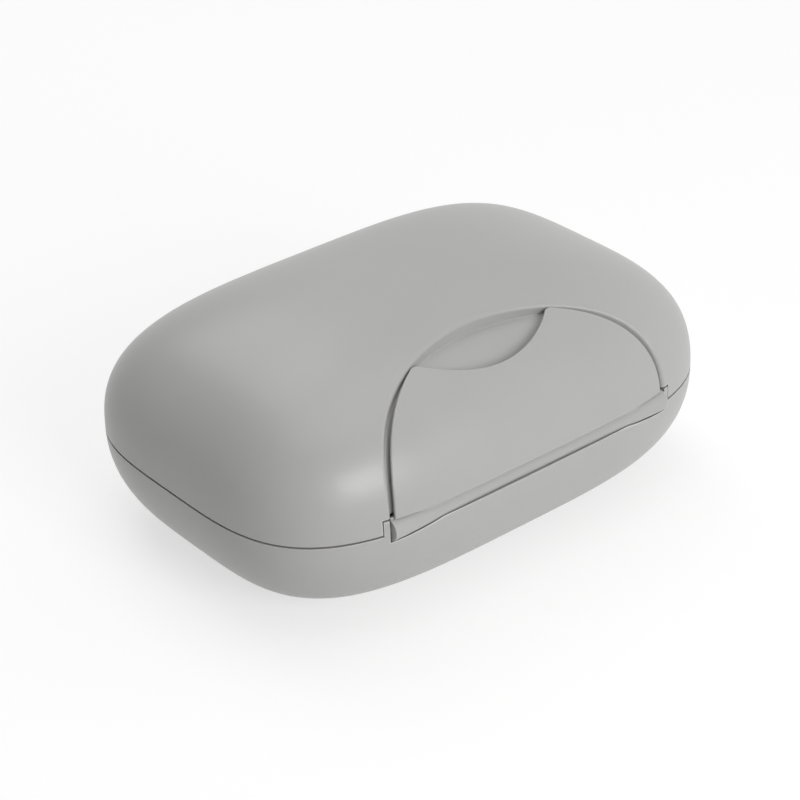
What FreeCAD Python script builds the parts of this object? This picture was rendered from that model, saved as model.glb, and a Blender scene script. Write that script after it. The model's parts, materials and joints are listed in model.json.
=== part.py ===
import FreeCAD, Part
import functools
import math
import os

# Travel soap box, millimetres. +Z is up, the origin is the centre of the flat foot,
# the latch is at -Y and the hinge of the lid is at +Y.

V = FreeCAD.Vector
X_AXIS = V(1, 0, 0)
LATCH_OUT = V(0, -1, 1)
OVERRUN = 20.0
SAME_PLACE = 0.02

# Whole box
LENGTH = 115.0
WIDTH = 83.5
PLAN_POWER = 3.73
PART_Z = 21.0
PART_GAP = 0.3
RIM_ROUND = 0.3
SPOKES = 40
RINGS = 12

# Lid
LID_RISE = 26.5
END_POWER = 2.85
SIDE_POWER = 2.41
CROWN_SHARE = 0.985
LID_WALL = 1.8

# Base
BOWL_RUN = 17.0
BOWL_POWER = 2.1
FOOT_LIFT = 0.6
FOOT_MARGIN = 2.5
FLOOR_WALL = 1.8
RIM_WALL = 4.8
WELL_RUN = 13.5

# Seal between lid and base
LIP_WALL = 1.2
LIP_RISE = 2.8
LIP_ROOT = 2.0
SEAL_WIDTH = 2.1
SEAL_THICK = 1.5
SEAL_PLAY = 0.05
SEAL_SQUEEZE_GAP = 0.2
SKIRT_WALL = 1.0
SKIRT_DIP = 0.6
RIM_WEB = 0.9
LIP_OUTSET = 3.5
FRONT_WALL = 0.9
RIM_CORNER = 6.0

# Latch recess of the lid
ARCH_HALF = 35.6
ARCH_REACH = 20.7
ARCH_POWER = 1.71
ARCH_LEG = 6.0
RECESS_DEPTH = 1.5
RECESS_WALL = 1.3
DISH_DEPTH = 1.1
DISH_HALF = 18.0
DISH_FADE_RINGS = 2
ARCH_EDGE_ROUND = 0.8
ARCH_POINTS = 24

# Latch flap
FLAP_WALL = 1.2
FLAP_SIDE_GAP = 0.7
FLAP_PEAK = 1.2
FLAP_POWER = 1.53
FLAP_FOOT_DIP = 0.1
FLAP_EDGE_ROUND = 0.35
SCOOP_REACH = 10.55
SCOOP_RADIUS = 25.6
HORN_ROUND = 1.8
ROOT_SETBACK = 0.6
ROOT_REACH = 1.6
ROOT_THICK = 1.5
ROOT_LAP = 0.35

# Latch pivot
BARREL_RADIUS = 2.3
BARREL_INSET = 2.85
BARREL_LIFT = 0.55
BARREL_PROUD = 0.2
BARREL_CLEAR = 0.2
LATCH_PIN_RADIUS = 0.5
LATCH_PIN_SEAT = 0.7
PIN_RUN_CLEAR = 0.05
PIN_SEAT_CLEAR = 0.02
EAR_WIDTH = 1.2
EAR_GAP = 0.4
EAR_SIDE_GAP = 0.2
EAR_COVER = 0.15
EAR_LID_GAP = 0.4
TROUGH_WALL = 1.6

# Catch between flap and lid
CATCH_HALF = 7.0
LEDGE_RISE = 0.8
HOOK_RISE = 1.0
CATCH_ROOT = 0.3
CATCH_Z = 10.5
CATCH_HEIGHT = 1.3
CATCH_GAP = 0.3

# Hinge of the lid
HINGE_OUTSET = 0.9
KNUCKLE_RADIUS = 2.6
KNUCKLE_CLEAR = 0.4
KNUCKLE_GAP = 0.3
BASE_KNUCKLE = 5.0
LID_KNUCKLE = 6.0
HINGE_X = 20.0
HINGE_PIN_RADIUS = 1.0
HINGE_PIN_MARGIN = 0.4
ARM_ROOT = 3.0

# Drain tray
TRAY_Z = 9.0
TRAY_WALL = 1.8
TRAY_SIDE_GAP = 0.9
TRAY_FRONT_GAP = 0.5
TRAY_RIB_RISE = 1.2
TRAY_RIB_WIDTH = 1.6
SLOT_COUNT = 7
SLOT_PITCH = 11.0
SLOT_WIDTH = 3.2
SLOT_MARGIN = 9.0
LEG_RADIUS = 3.0
LEG_Y = 14.0

HALF_L = LENGTH / 2
HALF_W = WIDTH / 2
RIM_TOP = PART_Z - PART_GAP / 2
LID_BOTTOM = PART_Z + PART_GAP / 2
BARREL_Y = BARREL_INSET - HALF_W
BARREL_Z = PART_Z + BARREL_LIFT
HINGE_Y = HALF_W + HINGE_OUTSET
FLAP_HALF = ARCH_HALF - FLAP_SIDE_GAP
FLAP_FOOT_Z = BARREL_Z + BARREL_RADIUS - FLAP_FOOT_DIP
BARREL_HALF = FLAP_HALF + BARREL_PROUD
BARREL_ROOM = BARREL_RADIUS + BARREL_CLEAR
EAR_INNER = BARREL_HALF + EAR_GAP
EAR_OUTER = EAR_INNER + EAR_WIDTH
LATCH_PIN_END = EAR_INNER + LATCH_PIN_SEAT
EAR_TOP = BARREL_Z + BARREL_RADIUS + EAR_COVER
SEAL_BOTTOM = PART_Z + LIP_RISE + SEAL_SQUEEZE_GAP
CHANNEL_TOP = SEAL_BOTTOM + SEAL_THICK
CHANNEL_OUTER = LIP_OUTSET - (SEAL_WIDTH - LIP_WALL) / 2
CHANNEL_INNER = CHANNEL_OUTER + SEAL_WIDTH
FRONT_SETBACK = BARREL_INSET + BARREL_ROOM + FRONT_WALL - CHANNEL_OUTER
WELL_FLOOR = FOOT_LIFT + FLOOR_WALL


def quarter(power, angle):
    """A point on the unit quarter of a superellipse."""
    c = max(math.cos(angle), 0.0)
    s = max(math.sin(angle), 0.0)
    radius = (c ** power + s ** power) ** (-1 / power)
    return c * radius, s * radius


def plan_spokes():
    """Points on the outline of the box seen from above, on a unit scale."""
    spokes = []
    for i in range(SPOKES):
        c = math.cos(2 * math.pi * i / SPOKES)
        s = math.sin(2 * math.pi * i / SPOKES)
        radius = (abs(c) ** PLAN_POWER + abs(s) ** PLAN_POWER) ** (-1 / PLAN_POWER)
        spokes.append((c * radius, s * radius))
    return spokes


def plan_ring(half_x, half_y, z):
    """The outline of the box seen from above, at one size and height."""
    return [V(half_x * c, half_y * s, z) for c, s in plan_spokes()]


def closed_curve(points):
    """A smooth closed curve through the points."""
    curve = Part.BSplineCurve()
    curve.interpolate(points, PeriodicFlag=True)
    return Part.Wire([curve.toShape()])


def skin_solid(rings):
    """A smooth solid through flat rings of points."""
    return Part.makeLoft([closed_curve(ring) for ring in rings], True)


@functools.lru_cache(maxsize=None)
def dome(inset, dish=0.0):
    """The lid's outer form moved inwards, flat on the parting plane, with a dish in its front."""
    grid = []
    for i in range(RINGS + 1):
        rise = quarter((END_POWER + SIDE_POWER) / 2, CROWN_SHARE * math.pi / 2 * i / RINGS)[1]
        end = (1 - rise ** END_POWER) ** (1 / END_POWER)
        side = (1 - rise ** SIDE_POWER) ** (1 / SIDE_POWER)
        fade = min(max((RINGS - 1 - i) / DISH_FADE_RINGS, 0), 1)
        ring = []
        for c, s in plan_spokes():
            hollow = max(1 - ((HALF_L - inset) * end * c / DISH_HALF) ** 2, 0) if s < 0 else 0
            deep = inset + dish * fade * hollow
            x = (HALF_L - deep) * end * c
            y = (HALF_W - deep) * side * s
            ring.append(V(x, y, PART_Z + (LID_RISE - deep) * rise))
        grid.append(ring)
    return skin_solid(grid)


@functools.lru_cache(maxsize=None)
def bowl(inset, run, drop):
    """A bowl below the parting plane with a flat bottom."""
    grid = []
    for i in range(RINGS + 1):
        c, s = quarter(BOWL_POWER, math.pi / 2 * i / RINGS)
        lean = inset + run * (1 - c)
        grid.append(plan_ring(HALF_L - lean, HALF_W - lean, PART_Z - drop * s))
    return skin_solid(grid)


def slab(half_x, y0, y1, z0, z1):
    """A box that is even about the YZ plane."""
    return Part.makeBox(2 * half_x, y1 - y0, z1 - z0, V(-half_x, y0, z0))


def bar(radius, x0, x1, y, z):
    """A round bar along X."""
    return Part.makeCylinder(radius, x1 - x0, V(x0, y, z), X_AXIS)


def plan_prism(half_x, half_y, z0, z1):
    """An upright prism on the plan outline."""
    return Part.Face(closed_curve(plan_ring(half_x, half_y, z0))).extrude(V(0, 0, z1 - z0))


def rim_prism(inset, z0, z1):
    """The plan outline moved inwards and cut straight behind the latch."""
    body = plan_prism(HALF_L - inset, HALF_W - inset, z0, z1)
    front = inset + FRONT_SETBACK - HALF_W
    body = body.cut(slab(LENGTH, -WIDTH, front, z0 - OVERRUN, z1 + OVERRUN))
    corners = [e for e in body.Edges if e.BoundBox.ZLength > (z1 - z0) / 2
               and abs(e.Vertexes[0].Y - front) < SAME_PLACE]
    return body.makeFillet(RIM_CORNER, corners)


def rim_ring(outer, inner, z0, z1):
    """A ring that follows the rim between two insets."""
    return rim_prism(outer, z0, z1).cut(rim_prism(inner, z0 - OVERRUN, z1 + OVERRUN))


def arch_prism(half, reach, power):
    """The arched outline of the latch seen from above, as an upright prism through the lid."""
    points = []
    for i in range(ARCH_POINTS + 1):
        angle = math.pi * i / ARCH_POINTS
        c, s = quarter(power, min(angle, math.pi - angle))
        points.append(V(math.copysign(c, math.cos(angle)) * half, s * reach - HALF_W, PART_Z - OVERRUN))
    curve = Part.BSplineCurve()
    curve.interpolate(points)
    right = points[0] - V(0, ARCH_LEG, 0)
    left = points[-1] - V(0, ARCH_LEG, 0)
    wire = Part.Wire([curve.toShape(), Part.makeLine(points[-1], left),
                      Part.makeLine(left, right), Part.makeLine(right, points[0])])
    return Part.Face(wire).extrude(V(0, 0, LID_RISE + 2 * OVERRUN))


def flap_prism():
    """The flap's outline with the finger scoop in its upper edge."""
    body = arch_prism(FLAP_HALF, ARCH_REACH + FLAP_PEAK, FLAP_POWER)
    centre = V(0, SCOOP_REACH + SCOOP_RADIUS - HALF_W, PART_Z - 2 * OVERRUN)
    body = body.cut(Part.makeCylinder(SCOOP_RADIUS, LID_RISE + 4 * OVERRUN, centre))
    tips = [e for e in body.Edges if e.BoundBox.ZLength > LID_RISE and e.BoundBox.YMin > BARREL_Y]
    return body.makeFillet(HORN_ROUND, tips)


def latch_opening():
    """The space at the lid's front edge for the latch barrel and its ears."""
    return slab(EAR_OUTER + EAR_SIDE_GAP, -WIDTH, BARREL_Y + BARREL_ROOM, PART_Z - OVERRUN,
                EAR_TOP + EAR_LID_GAP)


def knuckle_spans():
    """The X spans of the base's and the lid's knuckles on both hinges."""
    base, lid = [], []
    for side in (-1, 1):
        mid = side * HINGE_X
        lid.append((mid - LID_KNUCKLE / 2, mid + LID_KNUCKLE / 2))
        near = LID_KNUCKLE / 2 + KNUCKLE_GAP
        base.append((mid - near - BASE_KNUCKLE, mid - near))
        base.append((mid + near, mid + near + BASE_KNUCKLE))
    return base, lid


def knuckle(span, up):
    """One hinge knuckle with the arm that joins it to its shell."""
    x0, x1 = span
    body = bar(KNUCKLE_RADIUS, x0, x1, HINGE_Y, PART_Z)
    z0 = LID_BOTTOM if up else PART_Z - KNUCKLE_RADIUS
    height = KNUCKLE_RADIUS - PART_GAP / 2
    arm = Part.makeBox(x1 - x0, HINGE_OUTSET + ARM_ROOT, height, V(x0, HALF_W - ARM_ROOT, z0))
    return body.fuse(arm)


def add_knuckles(shell, own, other, up):
    """Cut room for the other shell's knuckles, then join this shell's own."""
    for x0, x1 in other:
        room = bar(KNUCKLE_RADIUS + KNUCKLE_CLEAR, x0 - KNUCKLE_GAP, x1 + KNUCKLE_GAP, HINGE_Y, PART_Z)
        shell = shell.cut(room)
    for span in own:
        shell = shell.fuse(knuckle(span, up))
    clear = PIN_RUN_CLEAR if up else PIN_SEAT_CLEAR
    hole = bar(HINGE_PIN_RADIUS + clear, -LENGTH, LENGTH, HINGE_Y, PART_Z)
    return shell.cut(hole).removeSplitter()


def lid_outside():
    """The lid's outer form with the latch recess and its rounded edge."""
    body = dome(0).cut(slab(LENGTH, -WIDTH, WIDTH, PART_Z - OVERRUN, LID_BOTTOM))
    rim = [e for e in body.Edges if e.BoundBox.ZMax < LID_BOTTOM + SAME_PLACE]
    body = body.makeFillet(RIM_ROUND, rim)
    arch = arch_prism(ARCH_HALF, ARCH_REACH, ARCH_POWER)
    body = body.cut(arch.cut(dome(RECESS_DEPTH, DISH_DEPTH))).cut(latch_opening())
    front = [e for e in body.Edges if e.BoundBox.YMax < 0]
    return body.makeFillet(ARCH_EDGE_ROUND, [max(front, key=lambda e: e.Length)])


def lid_shell():
    """The lid: a domed shell with the latch recess and a channel for the seal."""
    body = lid_outside()
    behind = arch_prism(ARCH_HALF + RECESS_WALL, ARCH_REACH + RECESS_WALL, ARCH_POWER)
    hollow = dome(LID_WALL).cut(behind.cut(dome(RECESS_DEPTH + RECESS_WALL, DISH_DEPTH)))
    rim = slab(LENGTH, -WIDTH, WIDTH, PART_Z - OVERRUN, CHANNEL_TOP + RIM_WEB)
    rim = rim.cut(rim_prism(CHANNEL_INNER + SKIRT_WALL, PART_Z - 2 * OVERRUN, PART_Z + OVERRUN))
    body = body.cut(hollow.cut(rim))
    body = body.cut(rim_ring(CHANNEL_OUTER, CHANNEL_INNER, PART_Z - OVERRUN, CHANNEL_TOP))
    body = body.cut(rim_prism(CHANNEL_INNER, PART_Z - OVERRUN, PART_Z + LIP_RISE - SKIRT_DIP))
    ledge = slab(CATCH_HALF, -WIDTH, 0, PART_Z + CATCH_Z, PART_Z + CATCH_Z + CATCH_HEIGHT)
    ledge = ledge.common(dome(RECESS_DEPTH - LEDGE_RISE, DISH_DEPTH))
    ledge = ledge.cut(dome(RECESS_DEPTH + CATCH_ROOT, DISH_DEPTH))
    body = body.fuse(ledge)
    base_spans, lid_spans = knuckle_spans()
    return add_knuckles(body, lid_spans, base_spans, True)


def base_shell():
    """The base: a bowl on a flat foot, with the lip, the latch trough and its ears."""
    body = bowl(0, BOWL_RUN, PART_Z - FOOT_LIFT)
    flat = BOWL_RUN + FOOT_MARGIN
    body = body.fuse(plan_prism(HALF_L - flat, HALF_W - flat, 0, FLOOR_WALL))
    well = bowl(RIM_WALL, WELL_RUN, PART_Z - WELL_FLOOR)
    back = LIP_OUTSET + LIP_WALL + FRONT_SETBACK - HALF_W
    low = BARREL_Z - BARREL_ROOM - TROUGH_WALL
    half = EAR_OUTER + TROUGH_WALL
    run = back + HALF_W
    corners = [V(-half, -WIDTH, PART_Z + OVERRUN), V(-half, back, PART_Z + OVERRUN), V(-half, back, low),
               V(-half, back - run, low - run), V(-half, -WIDTH, low - run)]
    block = Part.Face(Part.makePolygon(corners + corners[:1])).extrude(V(2 * half, 0, 0))
    body = body.cut(well.cut(block))
    ears = slab(EAR_OUTER, -WIDTH, BARREL_Y + BARREL_RADIUS, PART_Z - OVERRUN, EAR_TOP)
    ears = ears.cut(slab(EAR_INNER, -WIDTH, WIDTH, PART_Z - 2 * OVERRUN, PART_Z + OVERRUN))
    body = body.cut(slab(LENGTH, -WIDTH, WIDTH, RIM_TOP, PART_Z + OVERRUN).cut(ears))
    body = body.fuse(ears.common(dome(0)))
    body = body.fuse(rim_ring(LIP_OUTSET, LIP_OUTSET + LIP_WALL, PART_Z - LIP_ROOT, PART_Z + LIP_RISE))
    body = body.cut(bar(BARREL_ROOM, -EAR_INNER, EAR_INNER, BARREL_Y, BARREL_Z))
    bore = LATCH_PIN_RADIUS + PIN_SEAT_CLEAR
    body = body.cut(bar(bore, -LATCH_PIN_END, LATCH_PIN_END, BARREL_Y, BARREL_Z))
    base_spans, lid_spans = knuckle_spans()
    return add_knuckles(body, base_spans, lid_spans, False)


def latch_flap():
    """The latch: an arched flap with a scoop, on a straight barrel that turns on its pin."""
    sheet = flap_prism().common(slab(LENGTH, -WIDTH, 0, FLAP_FOOT_Z, PART_Z + LENGTH))
    sheet = sheet.common(dome(0))
    skin = max(sheet.Faces, key=lambda face: face.CenterOfMass.dot(LATCH_OUT))
    sheet = sheet.makeFillet(FLAP_EDGE_ROUND, skin.Edges).cut(dome(FLAP_WALL))
    root_top = FLAP_FOOT_Z + ROOT_LAP
    root = slab(FLAP_HALF, BARREL_Y - ROOT_REACH, BARREL_Y, root_top - ROOT_THICK, root_top)
    root = root.common(dome(ROOT_SETBACK))
    barrel = bar(BARREL_RADIUS, -BARREL_HALF, BARREL_HALF, BARREL_Y, BARREL_Z)
    z0 = PART_Z + CATCH_Z + CATCH_HEIGHT + CATCH_GAP
    hook = slab(CATCH_HALF, -WIDTH, 0, z0, z0 + CATCH_HEIGHT)
    hook = hook.common(dome(FLAP_WALL - CATCH_ROOT)).cut(dome(FLAP_WALL + HOOK_RISE))
    body = sheet.fuse([root, barrel, hook])
    hole = bar(LATCH_PIN_RADIUS + PIN_RUN_CLEAR, -LENGTH, LENGTH, BARREL_Y, BARREL_Z)
    return body.cut(hole).removeSplitter()


def latch_pin():
    """The latch's pin, a wire that ends inside both ears."""
    return bar(LATCH_PIN_RADIUS, -LATCH_PIN_END, LATCH_PIN_END, BARREL_Y, BARREL_Z)


def hinge_pin(side):
    """One of the two pins of the lid's hinge."""
    reach = LID_KNUCKLE / 2 + KNUCKLE_GAP + BASE_KNUCKLE - HINGE_PIN_MARGIN
    mid = side * HINGE_X
    return bar(HINGE_PIN_RADIUS, mid - reach, mid + reach, HINGE_Y, PART_Z)


def lid_seal():
    """The soft ring at the top of the lid's channel."""
    return rim_ring(CHANNEL_OUTER + SEAL_PLAY, CHANNEL_INNER - SEAL_PLAY, SEAL_BOTTOM, CHANNEL_TOP)


def drain_tray():
    """The lift-out tray: a slotted plate with ribs on four legs."""
    depth = (PART_Z - TRAY_Z) / (PART_Z - WELL_FLOOR)
    lean = WELL_RUN * (1 - (1 - depth ** BOWL_POWER) ** (1 / BOWL_POWER))
    half_x = HALF_L - RIM_WALL - lean - TRAY_SIDE_GAP
    half_y = HALF_W - CHANNEL_INNER - SKIRT_WALL - FRONT_SETBACK - TRAY_FRONT_GAP
    body = plan_prism(half_x, half_y, TRAY_Z, TRAY_Z + TRAY_WALL)
    reach = half_y - SLOT_MARGIN
    for i in range(SLOT_COUNT):
        x = (i - (SLOT_COUNT - 1) / 2) * SLOT_PITCH
        body = body.cut(slot(x, reach))
    for i in range(SLOT_COUNT - 1):
        x = (i - (SLOT_COUNT - 2) / 2) * SLOT_PITCH
        rib = Part.makeBox(TRAY_RIB_WIDTH, 2 * reach, TRAY_RIB_RISE,
                           V(x - TRAY_RIB_WIDTH / 2, -reach, TRAY_Z + TRAY_WALL))
        body = body.fuse(rib)
    leg_x = (SLOT_COUNT // 2 - 1 / 2) * SLOT_PITCH
    for sx in (-1, 1):
        for sy in (-1, 1):
            foot = V(sx * leg_x, sy * LEG_Y, WELL_FLOOR)
            body = body.fuse(Part.makeCylinder(LEG_RADIUS, TRAY_Z - WELL_FLOOR, foot))
    return body.removeSplitter()


def slot(x, reach):
    """A drain slot with round ends."""
    z0 = TRAY_Z - TRAY_WALL
    body = Part.makeBox(SLOT_WIDTH, 2 * reach, 3 * TRAY_WALL, V(x - SLOT_WIDTH / 2, -reach, z0))
    for end in (-reach, reach):
        body = body.fuse(Part.makeCylinder(SLOT_WIDTH / 2, 3 * TRAY_WALL, V(x, end, z0)))
    return body


os.makedirs("parts", exist_ok=True)
NODES = {
    "base_shell": base_shell(),
    "lid_shell": lid_shell(),
    "latch_flap": latch_flap(),
    "latch_pin": latch_pin(),
    "hinge_pin_left": hinge_pin(-1),
    "hinge_pin_right": hinge_pin(1),
    "lid_seal": lid_seal(),
    "drain_tray": drain_tray(),
}
for name, shape in NODES.items():
    shape.exportStep("parts/" + name + ".step")
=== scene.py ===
import bpy
import json
import math
from mathutils import Matrix, Vector

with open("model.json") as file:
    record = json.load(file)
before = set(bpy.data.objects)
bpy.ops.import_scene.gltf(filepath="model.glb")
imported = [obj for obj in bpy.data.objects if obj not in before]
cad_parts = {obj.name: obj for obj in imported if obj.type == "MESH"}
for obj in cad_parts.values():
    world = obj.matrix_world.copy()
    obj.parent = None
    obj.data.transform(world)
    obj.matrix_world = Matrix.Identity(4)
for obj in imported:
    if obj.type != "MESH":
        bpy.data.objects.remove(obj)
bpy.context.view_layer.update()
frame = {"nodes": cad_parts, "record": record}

MM = 0.001

# Camera of the photograph, fitted to the outline of the box
IMAGE_SIDE_PX = 800
FOCAL_PX = 2412.9
CENTRE_PX = (401.45, 378.75)
SENSOR_MM = 36.0
AZIMUTH, ELEVATION, ROLL = (math.radians(a) for a in (-38.367, 30.013, 2.243))
DISTANCE = 490.8 * MM
LOOK_AT = Vector((0, 0, 23.5 * MM))
NEAR_CLIP = 10 * MM

# Floor, metres
FLOOR_SIDE = 4.0
FLOOR_WHITE = "#FAFAFA"
FLOOR_ROUGHNESS = 0.9
FLOOR_GLOW = 1.08
FLOOR_GLOW_SHARE = 0.6

# Surround: its light from the left and from the right, and what is seen of it
SURROUND_LEFT = 0.0
SURROUND_RIGHT = 0.78
SURROUND_SEEN = 1.0

# Soft boxes: place and side in metres, power in watts
LAMP_AIM = Vector((0, 0, 0.02))
SOFT_BOXES = {
    "key_softbox": ((-0.06, -0.92, 0.42), 0.5, 5.3),
    "top_softbox": ((0.2, 0.3, 3.0), 2.4, 21.6),
    "back_softbox": ((0.4, 1.5, 1.8), 1.2, 9.1),
}

# Polypropylene. The real mould grain is finer than 0.1 mm and is drawn coarser, so that it shows.
PLASTIC_GREY = "#A8A8A6"
PLASTIC_IOR = 1.49
SHELL_GRAIN_MM = 0.25
SHELL_ROUGHNESS = 0.36
TRAY_GRAIN_MM = 0.3
TRAY_ROUGHNESS = 0.5
GRAIN_DETAIL = 2.0
GRAIN_DEPTH_MM = 0.02
GRAIN_STRENGTH = 0.12
FLOW_MM = 14
FLOW_DETAIL = 3.0
FLOW_TONE = 0.03
FLOW_GLOSS = 0.04

# Edges of the plastic: softened, and given a painted highlight, a lighter colour, where they stand out
# The lighter colour below and its share are a painted highlight on standing-out edges.
PAINTED_EDGE_HIGHLIGHT = "#C8C8C5"
PAINTED_HIGHLIGHT_SHARE = 0.8
EDGE_SOFT_MM = 0.25
EDGE_SOFT_SAMPLES = 4
EDGE_HIGHLIGHT_MM = 0.5
EDGE_HIGHLIGHT_SAMPLES = 6
EDGE_HIGHLIGHT_TURN = (0.995, 0.9)
CREASE_REACH_MM = 0.8
CREASE_OPENNESS = (0.6, 0.85)

# Silicone and steel
SILICONE_MILK = "#D6D6D2"
SILICONE_IOR = 1.41
SILICONE_GLOSS = (0.5, 0.65)
SILICONE_DUST_MM = 0.6
SILICONE_DUST_DETAIL = 3.0
SILICONE_DEPTH_MM = 1.0
SILICONE_SCATTER = 0.3
STEEL_GREY = "#C9CACB"
STEEL_GLOSS = (0.22, 0.38)
STEEL_SCRATCH_MM = 0.08
STEEL_DRAW = (0.05, 1, 1)


def linear(code):
    """An sRGB hex colour as linear RGBA."""
    levels = [int(code[i:i + 2], 16) / 255 for i in (1, 3, 5)]
    return [v / 12.92 if v <= 0.04045 else ((v + 0.055) / 1.055) ** 2.4 for v in levels] + [1.0]


def add_node(tree, kind, inputs=None, **settings):
    """Adds a node, sets it up, and links or fills its inputs."""
    node = tree.nodes.new(kind)
    for name, value in settings.items():
        setattr(node, name, value)
    for name, value in (inputs or {}).items():
        if isinstance(value, bpy.types.NodeSocket):
            tree.links.new(value, node.inputs[name])
        else:
            node.inputs[name].default_value = value
    return node


def new_material(name):
    """An empty material with a principled shader."""
    material = bpy.data.materials.new(name)
    material.use_nodes = True
    tree = material.node_tree
    tree.nodes.clear()
    shader = add_node(tree, "ShaderNodeBsdfPrincipled")
    output = add_node(tree, "ShaderNodeOutputMaterial", {"Surface": shader.outputs["BSDF"]})
    return material, tree, shader, output


def painted_edge_highlight(tree):
    """Painted highlight mask: where an edge stands out and would catch the light; nought on flats and in creases.
    """
    wide_edge = add_node(tree, "ShaderNodeBevel", {"Radius": EDGE_HIGHLIGHT_MM * MM}, samples=EDGE_HIGHLIGHT_SAMPLES)
    flat = add_node(tree, "ShaderNodeNewGeometry").outputs["Normal"]
    match = add_node(tree, "ShaderNodeVectorMath", {0: wide_edge.outputs["Normal"], 1: flat},
                     operation="DOT_PRODUCT")
    turn = add_node(tree, "ShaderNodeMapRange", {
        "Value": match.outputs["Value"], "From Min": EDGE_HIGHLIGHT_TURN[0], "From Max": EDGE_HIGHLIGHT_TURN[1],
        "To Min": 0.0, "To Max": PAINTED_HIGHLIGHT_SHARE})
    around = add_node(tree, "ShaderNodeAmbientOcclusion", {"Distance": CREASE_REACH_MM * MM},
                      samples=EDGE_HIGHLIGHT_SAMPLES)
    stands_out = add_node(tree, "ShaderNodeMapRange", {
        "Value": around.outputs["AO"], "From Min": CREASE_OPENNESS[0], "From Max": CREASE_OPENNESS[1]})
    highlight_mask = add_node(tree, "ShaderNodeMath", {0: turn.outputs["Result"], 1: stands_out.outputs["Result"]},
                      operation="MULTIPLY")
    return highlight_mask.outputs["Value"]


def polypropylene(name, grain_mm, roughness):
    """Satin polypropylene from a spark-eroded mould: a soft sheen over a very fine even grain,
    faint flow clouds in tone and gloss, and a painted highlight, a lighter colour, on edges that stand out."""
    material, tree, shader, _ = new_material(name)
    place = add_node(tree, "ShaderNodeTexCoord").outputs["Object"]
    grain = add_node(tree, "ShaderNodeTexNoise", {"Vector": place, "Scale": 1 / (grain_mm * MM),
                                                  "Detail": GRAIN_DETAIL})
    flow = add_node(tree, "ShaderNodeTexNoise", {"Vector": place, "Scale": 1 / (FLOW_MM * MM),
                                                 "Detail": FLOW_DETAIL})
    tone = add_node(tree, "ShaderNodeMapRange", {"Value": flow.outputs["Fac"],
                                                 "To Min": 1 - FLOW_TONE, "To Max": 1 + FLOW_TONE})
    shade = add_node(tree, "ShaderNodeMix", {"Factor": 1.0, "A": linear(PLASTIC_GREY), "B": tone.outputs["Result"]},
                     data_type="RGBA", blend_type="MULTIPLY")
    gloss = add_node(tree, "ShaderNodeMapRange", {"Value": flow.outputs["Fac"], "To Min": roughness - FLOW_GLOSS,
                                                  "To Max": roughness + FLOW_GLOSS})
    # Painted highlight: the grey is mixed towards a lighter colour along standing-out edges.
    highlighted = add_node(tree, "ShaderNodeMix", {"Factor": painted_edge_highlight(tree), "A": shade.outputs["Result"],
                                            "B": linear(PAINTED_EDGE_HIGHLIGHT)}, data_type="RGBA")
    soft_edge = add_node(tree, "ShaderNodeBevel", {"Radius": EDGE_SOFT_MM * MM}, samples=EDGE_SOFT_SAMPLES)
    bump = add_node(tree, "ShaderNodeBump", {"Height": grain.outputs["Fac"], "Strength": GRAIN_STRENGTH,
                                             "Distance": GRAIN_DEPTH_MM * MM,
                                             "Normal": soft_edge.outputs["Normal"]})
    for socket, value in (("Base Color", highlighted.outputs["Result"]), ("Roughness", gloss.outputs["Result"]),
                          ("Normal", bump.outputs["Normal"])):
        tree.links.new(value, shader.inputs[socket])
    shader.inputs["IOR"].default_value = PLASTIC_IOR
    return material


def silicone(name):
    """Matt moulded silicone, milky and slightly see-through at its edges."""
    material, tree, shader, _ = new_material(name)
    place = add_node(tree, "ShaderNodeTexCoord").outputs["Object"]
    dust = add_node(tree, "ShaderNodeTexNoise", {"Vector": place, "Scale": 1 / (SILICONE_DUST_MM * MM),
                                                 "Detail": SILICONE_DUST_DETAIL})
    gloss = add_node(tree, "ShaderNodeMapRange", {"Value": dust.outputs["Fac"], "To Min": SILICONE_GLOSS[0],
                                                  "To Max": SILICONE_GLOSS[1]})
    tree.links.new(gloss.outputs["Result"], shader.inputs["Roughness"])
    shader.inputs["Base Color"].default_value = linear(SILICONE_MILK)
    shader.inputs["Subsurface Weight"].default_value = SILICONE_SCATTER
    shader.inputs["Subsurface Scale"].default_value = SILICONE_DEPTH_MM * MM
    shader.inputs["IOR"].default_value = SILICONE_IOR
    return material


def drawn_steel(name):
    """Drawn stainless wire: bright, with fine scratches along its length."""
    material, tree, shader, _ = new_material(name)
    place = add_node(tree, "ShaderNodeTexCoord").outputs["Object"]
    along = add_node(tree, "ShaderNodeMapping", {"Vector": place, "Scale": STEEL_DRAW})
    scratch = add_node(tree, "ShaderNodeTexNoise", {"Vector": along.outputs["Vector"],
                                                    "Scale": 1 / (STEEL_SCRATCH_MM * MM)})
    gloss = add_node(tree, "ShaderNodeMapRange", {"Value": scratch.outputs["Fac"], "To Min": STEEL_GLOSS[0],
                                                  "To Max": STEEL_GLOSS[1]})
    tree.links.new(gloss.outputs["Result"], shader.inputs["Roughness"])
    shader.inputs["Base Color"].default_value = linear(STEEL_GREY)
    shader.inputs["Metallic"].default_value = 1.0
    return material


def dress_nodes():
    """Gives every piece of the box its finish."""
    finish = {
        "shell_polypropylene": polypropylene("polypropylene_satin_grey", SHELL_GRAIN_MM, SHELL_ROUGHNESS),
        "tray_polypropylene": polypropylene("polypropylene_tray_grey", TRAY_GRAIN_MM, TRAY_ROUGHNESS),
        "seal_silicone": silicone("silicone_milky"),
        "pin_steel": drawn_steel("stainless_drawn_wire"),
    }
    for part in frame["record"]["subparts"]:
        node = frame["nodes"][part["node"]]
        for slot in node.material_slots:
            slot.material = finish[part["material_slot"]]


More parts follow.
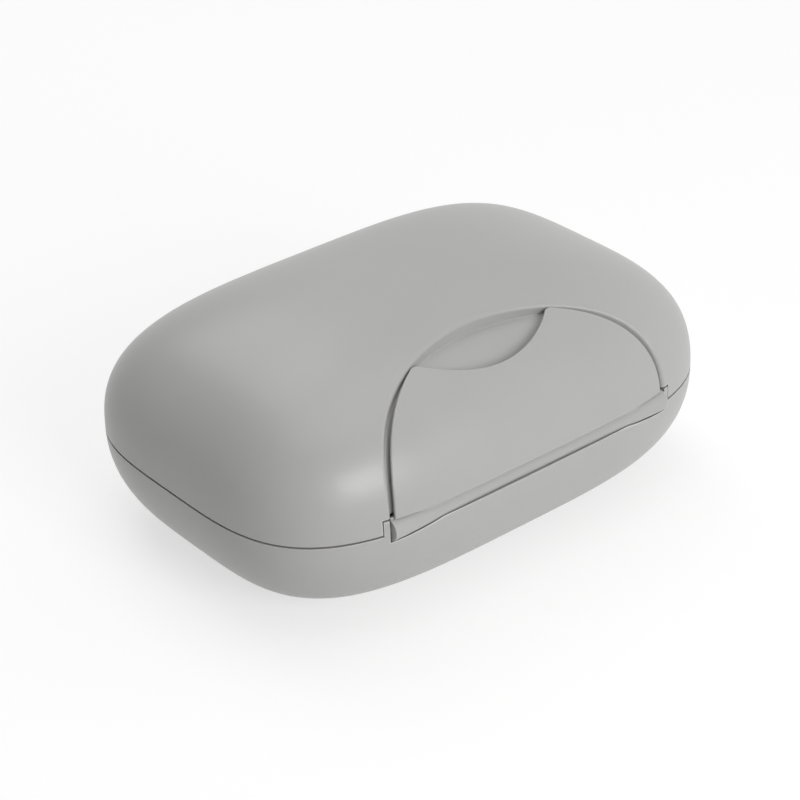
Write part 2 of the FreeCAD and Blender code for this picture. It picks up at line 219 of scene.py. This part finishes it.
def seen_straight_or_mirrored(tree):
    """One for rays from the camera and from mirrors and glass, nought for the rays that light the box."""
    path = add_node(tree, "ShaderNodeLightPath")
    sharp = add_node(tree, "ShaderNodeMath", {0: path.outputs["Is Glossy Ray"],
                                              1: path.outputs["Is Transmission Ray"]}, operation="MAXIMUM")
    seen = add_node(tree, "ShaderNodeMath", {0: path.outputs["Is Camera Ray"], 1: sharp.outputs["Value"]},
                    operation="MAXIMUM")
    return seen.outputs["Value"]


def add_floor():
    """A plain white floor that keeps the shadow of the box."""
    half = FLOOR_SIDE / 2
    mesh = bpy.data.meshes.new("floor")
    corners = [(-half, -half, 0), (half, -half, 0), (half, half, 0), (-half, half, 0)]
    mesh.from_pydata(corners, [], [(0, 1, 2, 3)])
    floor = bpy.data.objects.new("floor", mesh)
    bpy.context.scene.collection.objects.link(floor)
    material, tree, shader, output = new_material("floor_white_paper")
    shader.inputs["Base Color"].default_value = linear(FLOOR_WHITE)
    shader.inputs["Roughness"].default_value = FLOOR_ROUGHNESS
    shader.inputs["Specular IOR Level"].default_value = 0.0
    glow = add_node(tree, "ShaderNodeEmission", {"Strength": FLOOR_GLOW})
    share = add_node(tree, "ShaderNodeMath", {0: seen_straight_or_mirrored(tree), 1: FLOOR_GLOW_SHARE},
                     operation="MULTIPLY")
    mix = add_node(tree, "ShaderNodeMixShader", {"Fac": share.outputs["Value"], 1: shader.outputs["BSDF"],
                                                 2: glow.outputs["Emission"]})
    tree.links.new(mix.outputs["Shader"], output.inputs["Surface"])
    mesh.materials.append(material)


def add_world():
    """A studio surround that is darker on the left, and white where it is seen straight or mirrored."""
    world = bpy.data.worlds.new("studio")
    bpy.context.scene.world = world
    world.use_nodes = True
    tree = world.node_tree
    tree.nodes.clear()
    place = add_node(tree, "ShaderNodeTexCoord").outputs["Generated"]
    split = add_node(tree, "ShaderNodeSeparateXYZ", {"Vector": place})
    level = add_node(tree, "ShaderNodeMapRange", {"Value": split.outputs["X"], "From Min": -1.0, "From Max": 1.0,
                                                  "To Min": SURROUND_LEFT, "To Max": SURROUND_RIGHT})
    lit = add_node(tree, "ShaderNodeBackground", {"Color": (1, 1, 1, 1), "Strength": level.outputs["Result"]})
    seen = add_node(tree, "ShaderNodeBackground", {"Color": (1, 1, 1, 1), "Strength": SURROUND_SEEN})
    mix = add_node(tree, "ShaderNodeMixShader", {"Fac": seen_straight_or_mirrored(tree),
                                                 1: lit.outputs["Background"], 2: seen.outputs["Background"]})
    add_node(tree, "ShaderNodeOutputWorld", {"Surface": mix.outputs["Shader"]})


def add_lamps():
    """A low soft key before the latch, a wide one high above and a weak one from behind."""
    for name, (place, side, power) in SOFT_BOXES.items():
        data = bpy.data.lights.new(name, "AREA")
        data.shape = "SQUARE"
        data.size = side
        data.energy = power
        lamp = bpy.data.objects.new(name, data)
        bpy.context.scene.collection.objects.link(lamp)
        lamp.location = place
        lamp.rotation_euler = (LAMP_AIM - Vector(place)).to_track_quat("-Z", "Y").to_euler()


def add_camera():
    """The camera of the photograph, with its slight roll."""
    data = bpy.data.cameras.new("photo_camera")
    data.sensor_width = SENSOR_MM
    data.lens = FOCAL_PX * SENSOR_MM / IMAGE_SIDE_PX
    data.shift_x = (IMAGE_SIDE_PX / 2 - CENTRE_PX[0]) / IMAGE_SIDE_PX
    data.shift_y = (CENTRE_PX[1] - IMAGE_SIDE_PX / 2) / IMAGE_SIDE_PX
    data.clip_start = NEAR_CLIP
    camera = bpy.data.objects.new("photo_camera", data)
    bpy.context.scene.collection.objects.link(camera)
    level = math.cos(ELEVATION)
    back = Vector((math.sin(AZIMUTH) * level, -math.cos(AZIMUTH) * level, math.sin(ELEVATION)))
    right = Vector((math.cos(AZIMUTH), math.sin(AZIMUTH), 0))
    up = back.cross(right)
    across = right * math.cos(ROLL) - up * math.sin(ROLL)
    upright = right * math.sin(ROLL) + up * math.cos(ROLL)
    turn = Matrix((across, upright, back)).transposed()
    camera.matrix_world = Matrix.Translation(LOOK_AT + back * DISTANCE) @ turn.to_4x4()
    bpy.context.scene.camera = camera


dress_nodes()
add_floor()
add_world()
add_lamps()
add_camera()
bpy.context.scene.view_settings.view_transform = "Standard"
